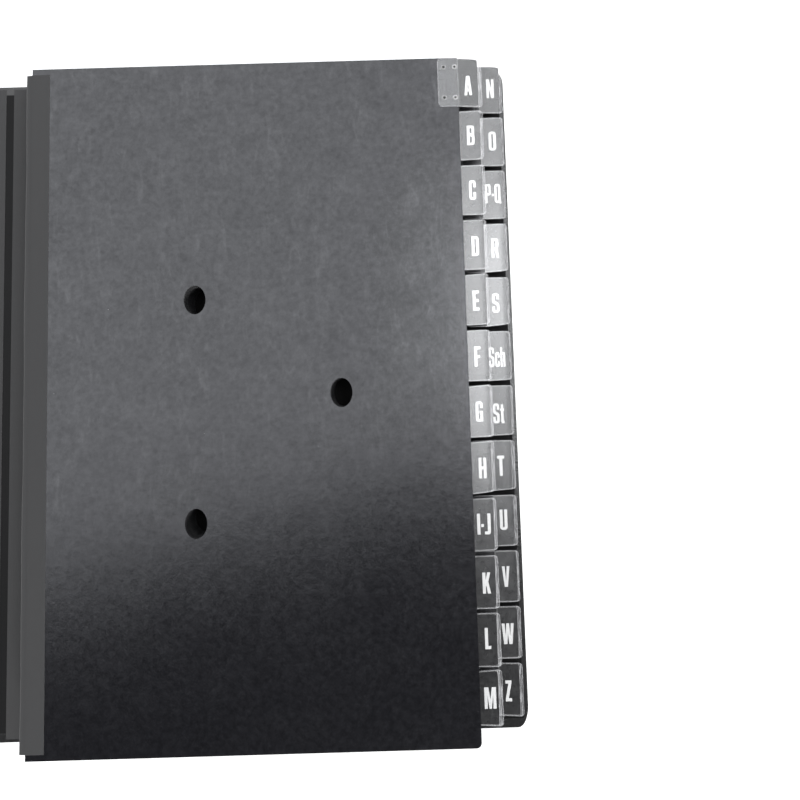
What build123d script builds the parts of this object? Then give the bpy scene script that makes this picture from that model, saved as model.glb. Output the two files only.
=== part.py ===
"""Desk sorter for A4 papers: a flat-lying case-bound file with 24 lettered leaves.

The back cover lies on the table. 24 board leaves are stacked on it, each hinged
at its left edge on an expanding cloth gusset, and each carries one clear folded
index tab on its right edge. Tabs A to M stand in an inner column and tabs N to Z
in an outer column, because the lower twelve leaves have a lug there. The front cover
and the spine board lie opened out flat to the left of the stack.

Frame: millimetres, +X towards the index tabs, +Y towards the head of the sheets,
+Z up off the table. Origin: centre of the back cover's underside.
"""
from build123d import *
import os

os.makedirs("parts", exist_ok=True)

# ---------------------------------------------------------------- dimensions
# covers
cover_w = 249.0          # back and front cover, spine side to fore-edge
cover_h = 340.0          # covers and leaves share this height
board_t = 2.0            # covers and spine board
cover_head_corner = (3.0, 6.0)   # elliptical fore-edge corners: along X, along Y
cover_foot_corner = (5.4, 10.8)
groove = 6.0             # open hinge groove between two boards

# leaves
letters = ["A", "B", "C", "D", "E", "F", "G", "H", "IJ", "K", "L", "M",
           "N", "O", "PQ", "R", "S", "Sch", "St", "T", "U", "V", "W", "Z"]
leaf_t = 0.6             # pressboard
leaf_pitch = 1.055       # leaf to leaf, at rest
leaf_w = 218.0           # every leaf
lug_out = 11.7           # leaves N to Z: lug that carries the outer tabs
lug_root_r = 2.0
leaf_corner_r = 2.6      # fore-edge corner at the foot
leaf_head_r = 0.8        # fore-edge corner at the head, inside the first tab
spine_gap = 5.0          # back cover's spine edge to the leaves' left edge
fan_per_leaf = 7.0       # degrees each leaf turns on the one below it

# sight holes through every leaf, from the inner leaves' right edge and the foot
hole_rx = 5.4
hole_ry = 7.15
hole_at = [(-135.6, 218.9), (-63.2, 170.8), (-135.6, 109.0)]

# index tabs
tab_count_per_column = 12
tab_pitch = 28.0
tab_h = 25.6
tab_out = 12.2           # stands out past the leaf
tab_in = 10.4            # laps on to each face of the leaf
tab_r_in = 2.2           # corners on the leaf
tab_r_out = 1.4          # corners at the fold
film_t = 0.15
film_clear = 0.02        # film to leaf face
insert_t = 0.3
insert_from = 0.3        # insert's inner and outer edge, from the leaf's edge
insert_to = 10.3
insert_margin = 0.7      # insert to the tab's upper and lower edge
rivet_x = (-7.2, -1.6)   # eyelets, from the leaf's edge
rivet_dy = 8.05          # eyelets above and below the tab's middle
rivet_flange_r = 1.45
rivet_shank_r = 0.95
rivet_bore_r = 0.6
rivet_flange_t = 0.1
rivet_hole_r = 1.0

# expanding gusset
gusset_depth = 3.6       # outer fold to inner fold
gusset_w = 1.2           # level width of the folded cloth's section
gusset_clear = 0.1
gusset_flange = 12.0
gusset_h = 334.0
cloth_t = 0.3

# ------------------------------------------------------------ derived places
x_cover_left = -cover_w / 2
x_cover_right = cover_w / 2
y_foot = -cover_h / 2
x_leaf_left = x_cover_left + spine_gap
x_inner_edge = x_leaf_left + leaf_w
x_outer_edge = x_inner_edge + lug_out
n_leaves = len(letters)
leaf_gap = leaf_pitch - leaf_t
z_first = board_t + leaf_gap                       # underside of the lowest leaf
z_top = z_first + (n_leaves - 1) * leaf_pitch + leaf_t
closed_inside = z_top + 0.88                       # inner face of the closed front cover
spine_w = closed_inside - groove                   # spine board
x_axis_spine = x_cover_left - groove / 2           # back cover to spine board
x_axis_front = x_axis_spine - groove - spine_w     # spine board to front cover
z_axis_cover = board_t / 2


def rounded_plate(x0, x1, y0, y1, z0, t, radii):
    """Plate whose corner radii are given as (x1,y0), (x1,y1), (x0,y0), (x0,y1)."""
    solid = Box(x1 - x0, y1 - y0, t, align=(Align.MIN, Align.MIN, Align.MIN))
    solid = Pos(x0, y0, z0) * solid
    places = [(x1, y0), (x1, y1), (x0, y0), (x0, y1)]
    for (px, py), r in zip(places, radii):
        if r > 0:
            edge = [e for e in solid.edges().filter_by(Axis.Z)
                    if abs(e.center().X - px) < 1e-6 and abs(e.center().Y - py) < 1e-6]
            solid = fillet(edge, r)
    return solid


def cover_plate(x_spine, facing):
    """Cover board with its spine edge at x_spine and its fore-edge towards +X or -X."""
    y_head = y_foot + cover_h
    (ax, ay), (bx, by) = cover_foot_corner, cover_head_corner
    with BuildPart() as board:
        with BuildSketch(Plane.XY):
            with BuildLine():
                Line((0, y_foot), (cover_w - ax, y_foot))
                EllipticalCenterArc((cover_w - ax, y_foot + ay), ax, ay, 270, arc_size=90)
                Line((cover_w, y_foot + ay), (cover_w, y_head - by))
                EllipticalCenterArc((cover_w - bx, y_head - by), bx, by, 0, arc_size=90)
                Line((cover_w - bx, y_head), (0, y_head))
                Line((0, y_head), (0, y_foot))
            make_face()
        extrude(amount=board_t)
    plate = board.part.solids()[0]
    if facing < 0:
        plate = mirror(plate, about=Plane.YZ)
    return Pos(x_spine, 0, 0) * plate


def write(shape, name):
    shape.label = name
    export_step(shape, "parts/%s.step" % name)


# ------------------------------------------------------------------- covers
back_cover = cover_plate(x_cover_left, 1)
write(back_cover, "back_cover")

x_spine_right = x_axis_spine - groove / 2
spine_board = rounded_plate(x_spine_right - spine_w, x_spine_right, y_foot, y_foot + cover_h,
                            0, board_t, (0, 0, 0, 0))
write(spine_board, "spine_board")

x_front_right = x_axis_front - groove / 2
front_cover = cover_plate(x_front_right, -1)
write(front_cover, "front_cover")


def hinge_cloths(x_axis):
    """Outer cloth and inner lining across one groove, edge to edge with the boards."""
    half = groove / 2 - 0.02
    out = []
    for z0 in (0.1, board_t - 0.1 - cloth_t):
        out.append(Pos(x_axis - half, y_foot + 1, z0) *
                   Box(2 * half, cover_h - 2, cloth_t, align=(Align.MIN, Align.MIN, Align.MIN)))
    return out


outer_a, lining_a = hinge_cloths(x_axis_spine)
outer_b, lining_b = hinge_cloths(x_axis_front)
write(outer_a, "spine_cloth_rear")
write(lining_a, "spine_lining_rear")
write(outer_b, "spine_cloth_front")
write(lining_b, "spine_lining_front")

# ------------------------------------------------------------ folded gusset
# One cloth, folded once between each pair of leaves: a zigzag that is single
# valued in z, so its section is the zigzag and the same line moved along X.
x_in = x_leaf_left - gusset_clear - gusset_w
x_out = x_in - gusset_depth + gusset_w
zig = [(x_out, board_t + 0.03)]
zig += [(x_out, board_t + 0.03 + cloth_t * 0.6)]
for k in range(n_leaves):
    z_mid = z_first + k * leaf_pitch + leaf_t / 2
    zig.append((x_in, z_mid))
    if k < n_leaves - 1:
        zig.append((x_out, z_mid + leaf_pitch / 2))
right = [(x + gusset_w, z) for x, z in zig]
outline = zig + right[::-1]
with BuildPart() as gusset:
    with BuildSketch(Plane.XZ.offset(gusset_h / 2)) as section:
        with BuildLine():
            Polyline(outline, close=True)
        make_face()
    extrude(amount=-gusset_h)
gusset_solid = gusset.part.solids()[0]
flange = Pos(x_out, -gusset_h / 2, board_t + 0.03) * Box(
    x_leaf_left + gusset_flange - x_out, gusset_h, cloth_t * 0.6,
    align=(Align.MIN, Align.MIN, Align.MIN))
gusset_solid = (gusset_solid + flange).solids()[0]
write(gusset_solid, "expanding_gusset")


# --------------------------------------------------------- leaves and tabs
for i, name in enumerate(letters):
    z0 = z_first + (n_leaves - 1 - i) * leaf_pitch
    z_mid = z0 + leaf_t / 2
    row = i % tab_count_per_column
    x_edge = x_inner_edge if i < tab_count_per_column else x_outer_edge
    y_mid = y_foot + cover_h - tab_h / 2 - row * tab_pitch

    leaf = rounded_plate(x_leaf_left, x_inner_edge, y_foot, y_foot + cover_h, z0, leaf_t,
                         (leaf_corner_r, leaf_head_r, 0, 0))
    if x_edge > x_inner_edge:
        y_lo, y_hi = y_mid - tab_h / 2, y_mid + tab_h / 2
        at_head = row == 0
        if at_head:                       # the first lug is flush with the leaf's head
            leaf += Pos(x_inner_edge - 10, y_lo, z0) * Box(
                10, tab_h, leaf_t, align=(Align.MIN, Align.MIN, Align.MIN))
        leaf += rounded_plate(x_inner_edge - 1, x_edge, y_lo, y_hi, z0, leaf_t,
                              (tab_r_out, tab_r_out, 0, 0))
        roots = [e for e in leaf.edges().filter_by(Axis.Z)
                 if abs(e.center().X - x_inner_edge) < 1e-6
                 and (abs(e.center().Y - y_lo) < 1e-6
                      or (not at_head and abs(e.center().Y - y_hi) < 1e-6))]
        leaf = fillet(roots, lug_root_r)
    for hx, hy in hole_at:
        cut = extrude(Plane.XY.offset(z0 - 0.5) * Pos(x_inner_edge + hx, y_foot + hy) *
                      Ellipse(hole_rx, hole_ry), amount=leaf_t + 1)
        leaf -= cut
    spots = [(x_edge + rx, y_mid + s * rivet_dy) for rx in rivet_x for s in (-1, 1)]
    for sx, sy in spots:
        leaf -= Pos(sx, sy, z_mid) * Cylinder(rivet_hole_r, leaf_t + 1)
    write(leaf.solids()[0], "leaf_" + name)

    # clear film folded round the leaf's edge, held by four eyelets
    x0, x1 = x_edge - tab_in, x_edge + tab_out
    y0, y1 = y_mid - tab_h / 2, y_mid + tab_h / 2
    half = leaf_t / 2 + film_clear + film_t
    film = rounded_plate(x0, x1, y0, y1, z_mid - half, 2 * half,
                         (tab_r_out, tab_r_out, tab_r_in, tab_r_in))
    pocket = Pos(x0 - 1, y0 - 1, z_mid - (half - film_t)) * Box(
        x1 - film_t - x0 + 1, tab_h + 2, 2 * (half - film_t),
        align=(Align.MIN, Align.MIN, Align.MIN))
    film -= pocket
    for sx, sy in spots:
        film -= Pos(sx, sy, z_mid) * Cylinder(rivet_hole_r, 2 * half + 1)
    insert = Pos(x_edge + insert_from, y_mid, z_mid) * Box(
        insert_to - insert_from, tab_h - 2 * insert_margin, insert_t,
        align=(Align.MIN, Align.CENTER, Align.CENTER))
    rivets = []
    for sx, sy in spots:
        body = Cylinder(rivet_shank_r, 2 * half + 0.02)
        for s in (-1, 1):
            body += Pos(0, 0, s * (half + 0.01 + rivet_flange_t / 2)) * Cylinder(
                rivet_flange_r, rivet_flange_t)
        body -= Cylinder(rivet_bore_r, 4)
        rivets.append((Pos(sx, sy, z_mid) * body).solids()[0])
    write(Compound(children=[film.solids()[0], insert] + rivets), "tab_" + name)

print("leaf gap", round(leaf_gap, 3), "stack top", round(z_top, 3),
      "closed inside", round(closed_inside, 3), "spine board", round(spine_w, 3))
print("axes: spine x", x_axis_spine, "front x", x_axis_front, "z", z_axis_cover)
x_axis_leaf = x_leaf_left - gusset_clear - gusset_depth / 2
print("leaf hinge x", x_axis_leaf)
for i, name in enumerate(letters):
    z0 = z_first + (n_leaves - 1 - i) * leaf_pitch
    print(name, "hinge z", round(z0 - leaf_gap / 2, 4))
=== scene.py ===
import math
import random

import bpy
import numpy as np
from mathutils import Matrix, Vector


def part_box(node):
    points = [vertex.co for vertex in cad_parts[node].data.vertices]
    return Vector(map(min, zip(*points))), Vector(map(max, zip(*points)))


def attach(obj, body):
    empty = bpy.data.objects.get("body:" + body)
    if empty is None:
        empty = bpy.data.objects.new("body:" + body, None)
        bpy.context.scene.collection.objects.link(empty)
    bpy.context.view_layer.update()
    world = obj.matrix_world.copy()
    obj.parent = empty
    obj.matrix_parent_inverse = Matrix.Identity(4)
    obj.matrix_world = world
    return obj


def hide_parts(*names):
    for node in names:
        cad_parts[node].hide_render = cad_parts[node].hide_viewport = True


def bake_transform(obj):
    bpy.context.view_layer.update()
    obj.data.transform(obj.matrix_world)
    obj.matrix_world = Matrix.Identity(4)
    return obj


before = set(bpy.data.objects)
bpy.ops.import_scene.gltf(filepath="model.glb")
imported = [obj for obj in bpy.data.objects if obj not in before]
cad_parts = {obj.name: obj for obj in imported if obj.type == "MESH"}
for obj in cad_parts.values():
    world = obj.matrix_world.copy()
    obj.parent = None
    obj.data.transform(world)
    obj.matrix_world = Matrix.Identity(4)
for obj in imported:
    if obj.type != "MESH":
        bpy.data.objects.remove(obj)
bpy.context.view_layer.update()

MM = 0.001
rng = random.Random(7)

LETTERS = ["A", "B", "C", "D", "E", "F", "G", "H", "IJ", "K", "L", "M",
           "N", "O", "PQ", "R", "S", "Sch", "St", "T", "U", "V", "W", "Z"]
LABELS = {"IJ": "I-J", "PQ": "P-Q"}

# ------------------------------------------------------------------ places
leaf_lo, leaf_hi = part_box("leaf_A")
back_lo, back_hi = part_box("back_cover")
spine_lo, spine_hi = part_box("spine_board")
front_lo, front_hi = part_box("front_cover")
EDGE_X = leaf_hi.x                      # the leaves' right edge
FOOT_Y, HEAD_Y = leaf_lo.y, leaf_hi.y
TOP_Z = leaf_hi.z

scene = bpy.context.scene
scene.view_settings.view_transform = "Standard"
scene.view_settings.look = "None"

# ------------------------------------------------------------------ camera
cam_data = bpy.data.cameras.new("camera")
cam_data.sensor_width = 36.0
cam_data.lens = 903.1355 / 800.0 * 36.0
cam_data.shift_x = 0.0
cam_data.shift_y = -0.125
cam_data.clip_start, cam_data.clip_end = 0.01, 50.0
cam = bpy.data.objects.new("camera", cam_data)
scene.collection.objects.link(cam)
turn = Matrix(((0.99958116, -0.02890567, -0.00140072),
               (0.02890444, 0.99481221, 0.09753569),
               (-0.00142588, -0.09753532, 0.99523104))).transposed()
cam.matrix_world = Matrix.Translation(
    Vector((EDGE_X - 33.560 * MM, FOOT_Y + 171.854 * MM, TOP_Z + 449.455 * MM))) @ turn.to_4x4()
scene.camera = cam


# ------------------------------------------------------------ shader helpers
class Graph:
    def __init__(self, name):
        self.mat = bpy.data.materials.new(name)
        self.mat.use_nodes = True
        self.tree = self.mat.node_tree
        self.tree.nodes.clear()
        self.out = self.new("ShaderNodeOutputMaterial")

    def new(self, kind, **values):
        node = self.tree.nodes.new(kind)
        for key, value in values.items():
            setattr(node, key, value)
        return node

    def link(self, a, b):
        self.tree.links.new(a, b)

    def feed(self, socket, value):
        if isinstance(value, bpy.types.NodeSocket):
            self.link(value, socket)
        else:
            socket.default_value = value

    def place(self, scale=(1, 1, 1), turn=(0, 0, 0)):
        coord = self.new("ShaderNodeTexCoord")
        mapping = self.new("ShaderNodeMapping")
        self.link(coord.outputs["Object"], mapping.inputs["Vector"])
        mapping.inputs["Scale"].default_value = scale
        mapping.inputs["Rotation"].default_value = turn
        return mapping.outputs["Vector"]

    def noise(self, vector, scale, detail=4.0, rough=0.55, distortion=0.0):
        node = self.new("ShaderNodeTexNoise")
        self.link(vector, node.inputs["Vector"])
        node.inputs["Scale"].default_value = scale
        node.inputs["Detail"].default_value = detail
        node.inputs["Roughness"].default_value = rough
        node.inputs["Distortion"].default_value = distortion
        return node.outputs["Fac"]

    def math(self, op, a, b=0.0, c=0.0, clamp=False):
        node = self.new("ShaderNodeMath", operation=op, use_clamp=clamp)
        for socket, value in zip(node.inputs, (a, b, c)):
            self.feed(socket, value)
        return node.outputs[0]

    def span(self, value, lo, hi, to_lo, to_hi):
        node = self.new("ShaderNodeMapRange")
        self.feed(node.inputs["Value"], value)
        for key, v in (("From Min", lo), ("From Max", hi), ("To Min", to_lo), ("To Max", to_hi)):
            self.feed(node.inputs[key], v)
        return node.outputs["Result"]

    def mix(self, factor, a, b):
        node = self.new("ShaderNodeMix", data_type="RGBA")
        self.feed(node.inputs["Factor"], factor)
        self.feed(node.inputs[6], a)
        self.feed(node.inputs[7], b)
        return node.outputs[2]

    def bump(self, height, distance, strength=1.0, normal=None):
        node = self.new("ShaderNodeBump")
        node.inputs["Distance"].default_value = distance
        node.inputs["Strength"].default_value = strength
        self.link(height, node.inputs["Height"])
        if normal is not None:
            self.link(normal, node.inputs["Normal"])
        return node.outputs["Normal"]

    def side_mask(self, lo=0.25, hi=0.6):
        """1 on faces that stand upright at rest, 0 on level ones."""
        geometry = self.new("ShaderNodeTexCoord")
        parts = self.new("ShaderNodeSeparateXYZ")
        self.link(geometry.outputs["Normal"], parts.inputs[0])
        level = self.math("ABSOLUTE", parts.outputs["Z"])
        return self.span(level, lo, hi, 1.0, 0.0)

    def principled(self, color, rough, normal=None, ior=1.5, metallic=0.0, sheen=0.0, spec=0.5,
                   tint=(1.0, 1.0, 1.0, 1.0)):
        node = self.new("ShaderNodeBsdfPrincipled")
        self.feed(node.inputs["Base Color"], color)
        self.feed(node.inputs["Roughness"], rough)
        self.feed(node.inputs["IOR"], ior)
        self.feed(node.inputs["Metallic"], metallic)
        self.feed(node.inputs["Specular IOR Level"], spec)
        node.inputs["Specular Tint"].default_value = tint
        if sheen:
            node.inputs["Sheen Weight"].default_value = sheen
            node.inputs["Sheen Roughness"].default_value = 0.5
        if normal is not None:
            self.link(normal, node.inputs["Normal"])
        return node.outputs[0]

    def done(self, shader):
        self.link(shader, self.out.inputs["Surface"])
        return self.mat


def grey(v, blue=0.0):
    return (v, v, v * (1 + blue), 1.0)


def pressboard():
    """Black calendered pressboard: fibre mottle, satin face with a few smudges, greyer cut edge."""
    g = Graph("black_pressboard")
    flat = g.place()
    cloud = g.noise(flat, 30.0, 4.0, 0.6)
    patch = g.noise(flat, 130.0, 4.0, 0.62, 0.4)
    mottle = g.noise(flat, 420.0, 4.0, 0.6)
    fibre = g.noise(g.place((1.0, 2.6, 1.0), (0, 0, 0.35)), 1500.0, 3.0, 0.6, 0.6)
    speck = g.noise(flat, 3200.0, 2.0, 0.5)
    smudge = g.span(g.noise(g.place((1.0, 0.34, 1.0), (0, 0, 0.5)), 170.0, 6.0, 0.70, 0.8),
                    0.54, 0.80, 0.0, 1.0)
    grit = g.new("ShaderNodeTexVoronoi", feature="F1")
    g.link(flat, grit.inputs["Vector"])
    grit.inputs["Scale"].default_value = 110.0
    dust_and_shade = g.math("MULTIPLY", g.span(grit.outputs["Distance"], 0.018, 0.030, 1.0, 0.0),
                  g.span(g.noise(flat, 160.0, 2.0), 0.60, 0.64, 0.0, 1.0))
    side = g.side_mask()
    # painted shade: gloss is cut and roughness raised in a thin band along the face's edges, a dark line standing in
    # for the shade at the cut edge
    round_normal = g.new("ShaderNodeBevel")
    round_normal.samples = 4
    round_normal.inputs["Radius"].default_value = 0.00045
    flat_normal = g.new("ShaderNodeNewGeometry")
    dot = g.new("ShaderNodeVectorMath", operation="DOT_PRODUCT")
    g.link(round_normal.outputs[0], dot.inputs[0])
    g.link(flat_normal.outputs["Normal"], dot.inputs[1])
    painted_edge_shade = g.math("MULTIPLY", g.span(dot.outputs["Value"], 0.78, 0.97, 1.0, 0.0),
                   g.math("SUBTRACT", 1.0, side, clamp=True))
    tone = g.math("MULTIPLY_ADD", mottle, 0.55, g.math("MULTIPLY", fibre, 0.45))
    face = g.mix(g.span(tone, 0.35, 0.65, 0.0, 1.0), grey(0.0034, 0.22), grey(0.0058, 0.26))
    face = g.mix(g.math("MULTIPLY", dust_and_shade, 0.8), face, grey(0.16))
    layer = g.noise(g.place((0.012, 0.012, 1.0)), 1100.0, 2.0, 0.5)
    cut = g.math("MULTIPLY", g.span(fibre, 0.3, 0.7, 0.4, 1.0), g.span(layer, 0.38, 0.62, 0.10, 1.0))
    edge = g.mix(cut, grey(0.008, 0.03), grey(0.105, 0.02))
    color = g.mix(side, face, edge)
    rough = g.math("ADD", g.span(mottle, 0.3, 0.7, 0.185, 0.225), g.span(cloud, 0.3, 0.7, -0.01, 0.01))
    rough = g.math("ADD", rough, g.math("MULTIPLY_ADD", side, 0.35, g.math("MULTIPLY", painted_edge_shade, 0.2)))
    normal = g.bump(speck, 0.00002, 0.5)
    normal = g.bump(fibre, 0.00004, 0.55, normal)
    normal = g.bump(mottle, 0.00007, 0.55, normal)
    spec = g.math("ADD", g.span(cloud, 0.3, 0.7, 0.525, 0.575), g.span(mottle, 0.3, 0.7, -0.085, 0.085))
    spec = g.math("ADD", spec, g.span(patch, 0.3, 0.7, -0.045, 0.045))
    spec = g.math("MULTIPLY_ADD", smudge, 0.22, spec)
    spec = g.math("MULTIPLY", spec, g.math("MULTIPLY_ADD", painted_edge_shade, -0.85, 1.0))
    # painted shade: the lugs' gloss is cut and their roughness raised so the gap between each outer tab's insert and
    # its fold stays dark, standing in for the deep shadow there
    parts = g.new("ShaderNodeSeparateXYZ")
    g.link(flat, parts.inputs[0])
    lug_painted_shade = g.span(parts.outputs["X"], LUG_FROM + 0.0002, LUG_FROM + 0.0012, 0.0, 1.0)
    spec = g.math("MULTIPLY", spec, g.math("MULTIPLY_ADD", lug_painted_shade, -0.85, 1.0))
    rough = g.math("MULTIPLY_ADD", lug_painted_shade, 0.25, rough)
    return g.done(g.principled(color, rough, normal, 1.55, spec=spec, tint=(0.965, 0.972, 1.0, 1.0)))


def cover_board(name, mid_x, half_x, lining, matt):
    """Black cover paper with a fine leather-grain emboss, rubbed lighter along its edges."""
    g = Graph(name)
    flat = g.place()
    cells = g.new("ShaderNodeTexVoronoi", feature="SMOOTH_F1")
    g.link(flat, cells.inputs["Vector"])
    cells.inputs["Scale"].default_value = 900.0
    cells.inputs["Smoothness"].default_value = 0.6
    grain = cells.outputs["Distance"]
    cloud = g.noise(flat, 40.0, 4.0, 0.6)
    fine = g.noise(flat, 1900.0, 3.0, 0.6)
    rub = g.new("ShaderNodeBevel")
    rub.samples = 4
    rub.inputs["Radius"].default_value = 0.0006
    plain = g.new("ShaderNodeNewGeometry")
    dot = g.new("ShaderNodeVectorMath", operation="DOT_PRODUCT")
    g.link(rub.outputs[0], dot.inputs[0])
    g.link(plain.outputs["Normal"], dot.inputs[1])
    worn = g.math("MULTIPLY", g.span(dot.outputs["Value"], 0.80, 0.995, 1.0, 0.0),
                  g.span(g.noise(flat, 240.0, 3.0), 0.40, 0.62, 0.0, 1.0))
    # matte lining paper pasted inside, a little short of the board's edges; its darker, duller face is partly real
    # lining and partly painted shade, keeping the back cover dark where it shows in the deep shadow between the outer
    # tabs
    parts = g.new("ShaderNodeSeparateXYZ")
    g.link(flat, parts.inputs[0])
    middle = g.math("SUBTRACT", parts.outputs["X"], mid_x)
    inside = g.math("MULTIPLY", g.span(g.math("ABSOLUTE", middle), half_x - 0.0026, half_x - 0.0024, 1.0, 0.0),
                    g.span(g.math("ABSOLUTE", parts.outputs["Y"]), 0.1655, 0.1657, 1.0, 0.0))
    inside = g.math("MULTIPLY", inside, g.span(parts.outputs["Z"], 0.0019, 0.00195, 0.0, 1.0))
    face = g.mix(cloud, grey(0.0050, 0.05), grey(0.0095, 0.05))
    lining_and_shade_colour = g.mix(fine, grey(0.0035, 0.05), grey(0.0065, 0.05))
    color = g.mix(inside, g.mix(g.math("MULTIPLY", worn, 0.55), face, grey(0.075, 0.0)), lining_and_shade_colour)
    rough = g.math("ADD", g.span(cloud, 0.3, 0.7, 0.25, 0.31), g.math("MULTIPLY", worn, 0.15))
    rough = g.math("MULTIPLY_ADD", inside, matt, rough)
    spec = g.math("MULTIPLY_ADD", inside, lining - 0.55, 0.55)
    height = g.math("ADD", g.math("MULTIPLY", grain, g.math("MULTIPLY_ADD", inside, -0.8, 1.0)),
                    g.math("MULTIPLY", inside, 0.35))
    normal = g.bump(fine, 0.00003, 0.5)
    normal = g.bump(height, 0.00012, 0.7, normal)
    return g.done(g.principled(color, rough, normal, 1.5, spec=spec))


def book_cloth():
    """Black bookbinding linen: plain weave from two crossed thread waves, with slubs."""
    g = Graph("black_book_cloth")
    flat = g.place()
    wobble = g.noise(flat, 500.0, 2.0)
    parts = g.new("ShaderNodeSeparateXYZ")
    g.link(flat, parts.inputs[0])
    warp_at = g.math("ADD", parts.outputs["Y"], g.math("MULTIPLY", wobble, 0.0002))
    weft_at = g.math("ADD", g.math("ADD", parts.outputs["X"], parts.outputs["Z"]),
                     g.math("MULTIPLY", wobble, 0.0002))
    pitch = 2 * math.pi / 0.00055
    warp = g.math("SINE", g.math("MULTIPLY", warp_at, pitch))
    weft = g.math("SINE", g.math("MULTIPLY", weft_at, pitch))
    weave = g.span(g.math("MULTIPLY", warp, weft), -1.0, 1.0, 0.0, 1.0)
    ridge = g.math("MULTIPLY_ADD", g.math("ABSOLUTE", warp), 0.4,
                   g.math("MULTIPLY", weave, 0.6))
    slub = g.noise(g.place((1.0, 14.0, 1.0)), 260.0, 3.0)
    color = g.mix(g.math("MULTIPLY_ADD", slub, 0.5, g.math("MULTIPLY", ridge, 0.5)),
                  grey(0.006, 0.05), grey(0.026, 0.04))
    normal = g.bump(ridge, 0.00009, 0.9)
    return g.done(g.principled(color, g.span(slub, 0.3, 0.7, 0.62, 0.82), normal, 1.45,
                               sheen=0.25, spec=0.3))


def clear_film(name, gain):
    """Clear glossy sleeve film: passes light, with soft gloss and faint scuffs.
    gain scales this sleeve's reflection up or down against the usual one: painted highlight and painted shade for how
    brightly each sleeve catches the lamp."""
    g = Graph(name)
    flat = g.place()
    haze = g.noise(flat, 260.0, 4.0, 0.6)
    wave = g.noise(flat, 95.0, 2.0)
    scuff = g.noise(g.place((9.0, 1.0, 1.0), (0, 0, 0.5)), 900.0, 3.0, 0.6)
    normal = g.bump(wave, 0.00006, 0.35)
    clear = g.new("ShaderNodeBsdfTransparent")
    gloss = g.new("ShaderNodeBsdfGlossy")
    g.feed(gloss.inputs["Color"], (1, 1, 1, 1))
    g.feed(gloss.inputs["Roughness"], g.span(haze, 0.3, 0.7, 0.24, 0.32))
    g.link(normal, gloss.inputs["Normal"])
    milk = g.new("ShaderNodeBsdfDiffuse")
    g.feed(milk.inputs["Color"], grey(0.8))
    fresnel = g.new("ShaderNodeFresnel")
    fresnel.inputs["IOR"].default_value = 1.50
    shine = g.math("MINIMUM", fresnel.outputs[0], 0.062)
    share = g.math("MULTIPLY", g.math("ADD", shine, g.span(haze, 0.3, 0.7, 0.0, 0.012)), gain)
    a = g.new("ShaderNodeMixShader")
    g.feed(a.inputs[0], g.span(scuff, 0.55, 0.8, 0.0005, 0.012))
    g.link(clear.outputs[0], a.inputs[1])
    g.link(milk.outputs[0], a.inputs[2])
    b = g.new("ShaderNodeMixShader")
    g.feed(b.inputs[0], share)
    g.link(a.outputs[0], b.inputs[1])
    g.link(gloss.outputs[0], b.inputs[2])
    return g.done(b.outputs[0])


def film_edge(name, milk_and_highlight_lo, milk_and_highlight_hi, streaky):
    """Where the film is folded or cut it is part milky, part clear; the milky share is partly real whitening and partly
    painted highlight for the bright lines along folds and edges.
    streaky follows the fold as fine wandering lines."""
    g = Graph(name)
    blot = g.noise(g.place(), 190.0, 3.0)
    if streaky:
        wander = g.noise(g.place((0.2, 1.0, 0.2)), 85.0, 2.0)
        parts = g.new("ShaderNodeSeparateXYZ")
        g.link(g.place(), parts.inputs[0])
        across = g.math("MULTIPLY_ADD", wander, 0.0011, parts.outputs["X"])
        lines = g.new("ShaderNodeCombineXYZ")
        g.feed(lines.inputs["X"], across)
        g.feed(lines.inputs["Y"], g.math("MULTIPLY", parts.outputs["Y"], 0.06))
        level = g.math("MULTIPLY_ADD", g.noise(lines.outputs[0], 2300.0, 2.0, 0.5), 0.85,
                       g.math("MULTIPLY", blot, 0.15))
        lo, hi = 0.50, 0.64
    else:
        level = g.math("MULTIPLY_ADD", g.noise(g.place((2.0, 0.6, 1.0)), 420.0, 4.0, 0.65), 0.7,
                       g.math("MULTIPLY", blot, 0.3))
        lo, hi = 0.35, 0.65
    clear = g.new("ShaderNodeBsdfTransparent")
    g.feed(clear.inputs["Color"], (1, 1, 1, 1))
    # painted highlight, partly real whitening: milky white on the fold and cut edges
    milk = g.principled(grey(0.62, 0.02), g.span(blot, 0.3, 0.7, 0.20, 0.35), None, 1.5)
    a = g.new("ShaderNodeMixShader")
    g.feed(a.inputs[0], g.span(level, lo, hi, milk_and_highlight_lo, milk_and_highlight_hi))
    g.link(clear.outputs[0], a.inputs[1])
    g.link(milk, a.inputs[2])
    return g.done(a.outputs[0])


def insert_card():
    """Black printed insert: smooth coated card."""
    g = Graph("black_insert")
    flat = g.place()
    mottle = g.noise(flat, 700.0, 4.0)
    color = g.mix(mottle, grey(0.004, 0.14), grey(0.009, 0.14))
    edge = g.mix(g.side_mask(), color, grey(0.10))
    return g.done(g.principled(edge, g.span(mottle, 0.3, 0.7, 0.26, 0.36),
                               g.bump(mottle, 0.000012, 0.5), 1.5, spec=0.37))


def card_core():
    """Pale core of the card, bared along its cut edge."""
    g = Graph("card_core")
    fray = g.noise(g.place((1.0, 3.0, 1.0)), 1300.0, 3.0)
    return g.done(g.principled(g.mix(g.span(fray, 0.35, 0.65, 0.0, 1.0), grey(0.07), grey(0.30)), 0.7, None, 1.4))


def white_ink():
    """Screen-printed white: a slightly uneven opaque coat."""
    g = Graph("white_ink")
    grain = g.noise(g.place(), 2600.0, 3.0)
    color = g.mix(g.span(grain, 0.35, 0.7, 0.0, 1.0), grey(0.53), grey(0.46))
    return g.done(g.principled(color, 0.5, g.bump(grain, 0.00002, 0.5), 1.45))


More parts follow.
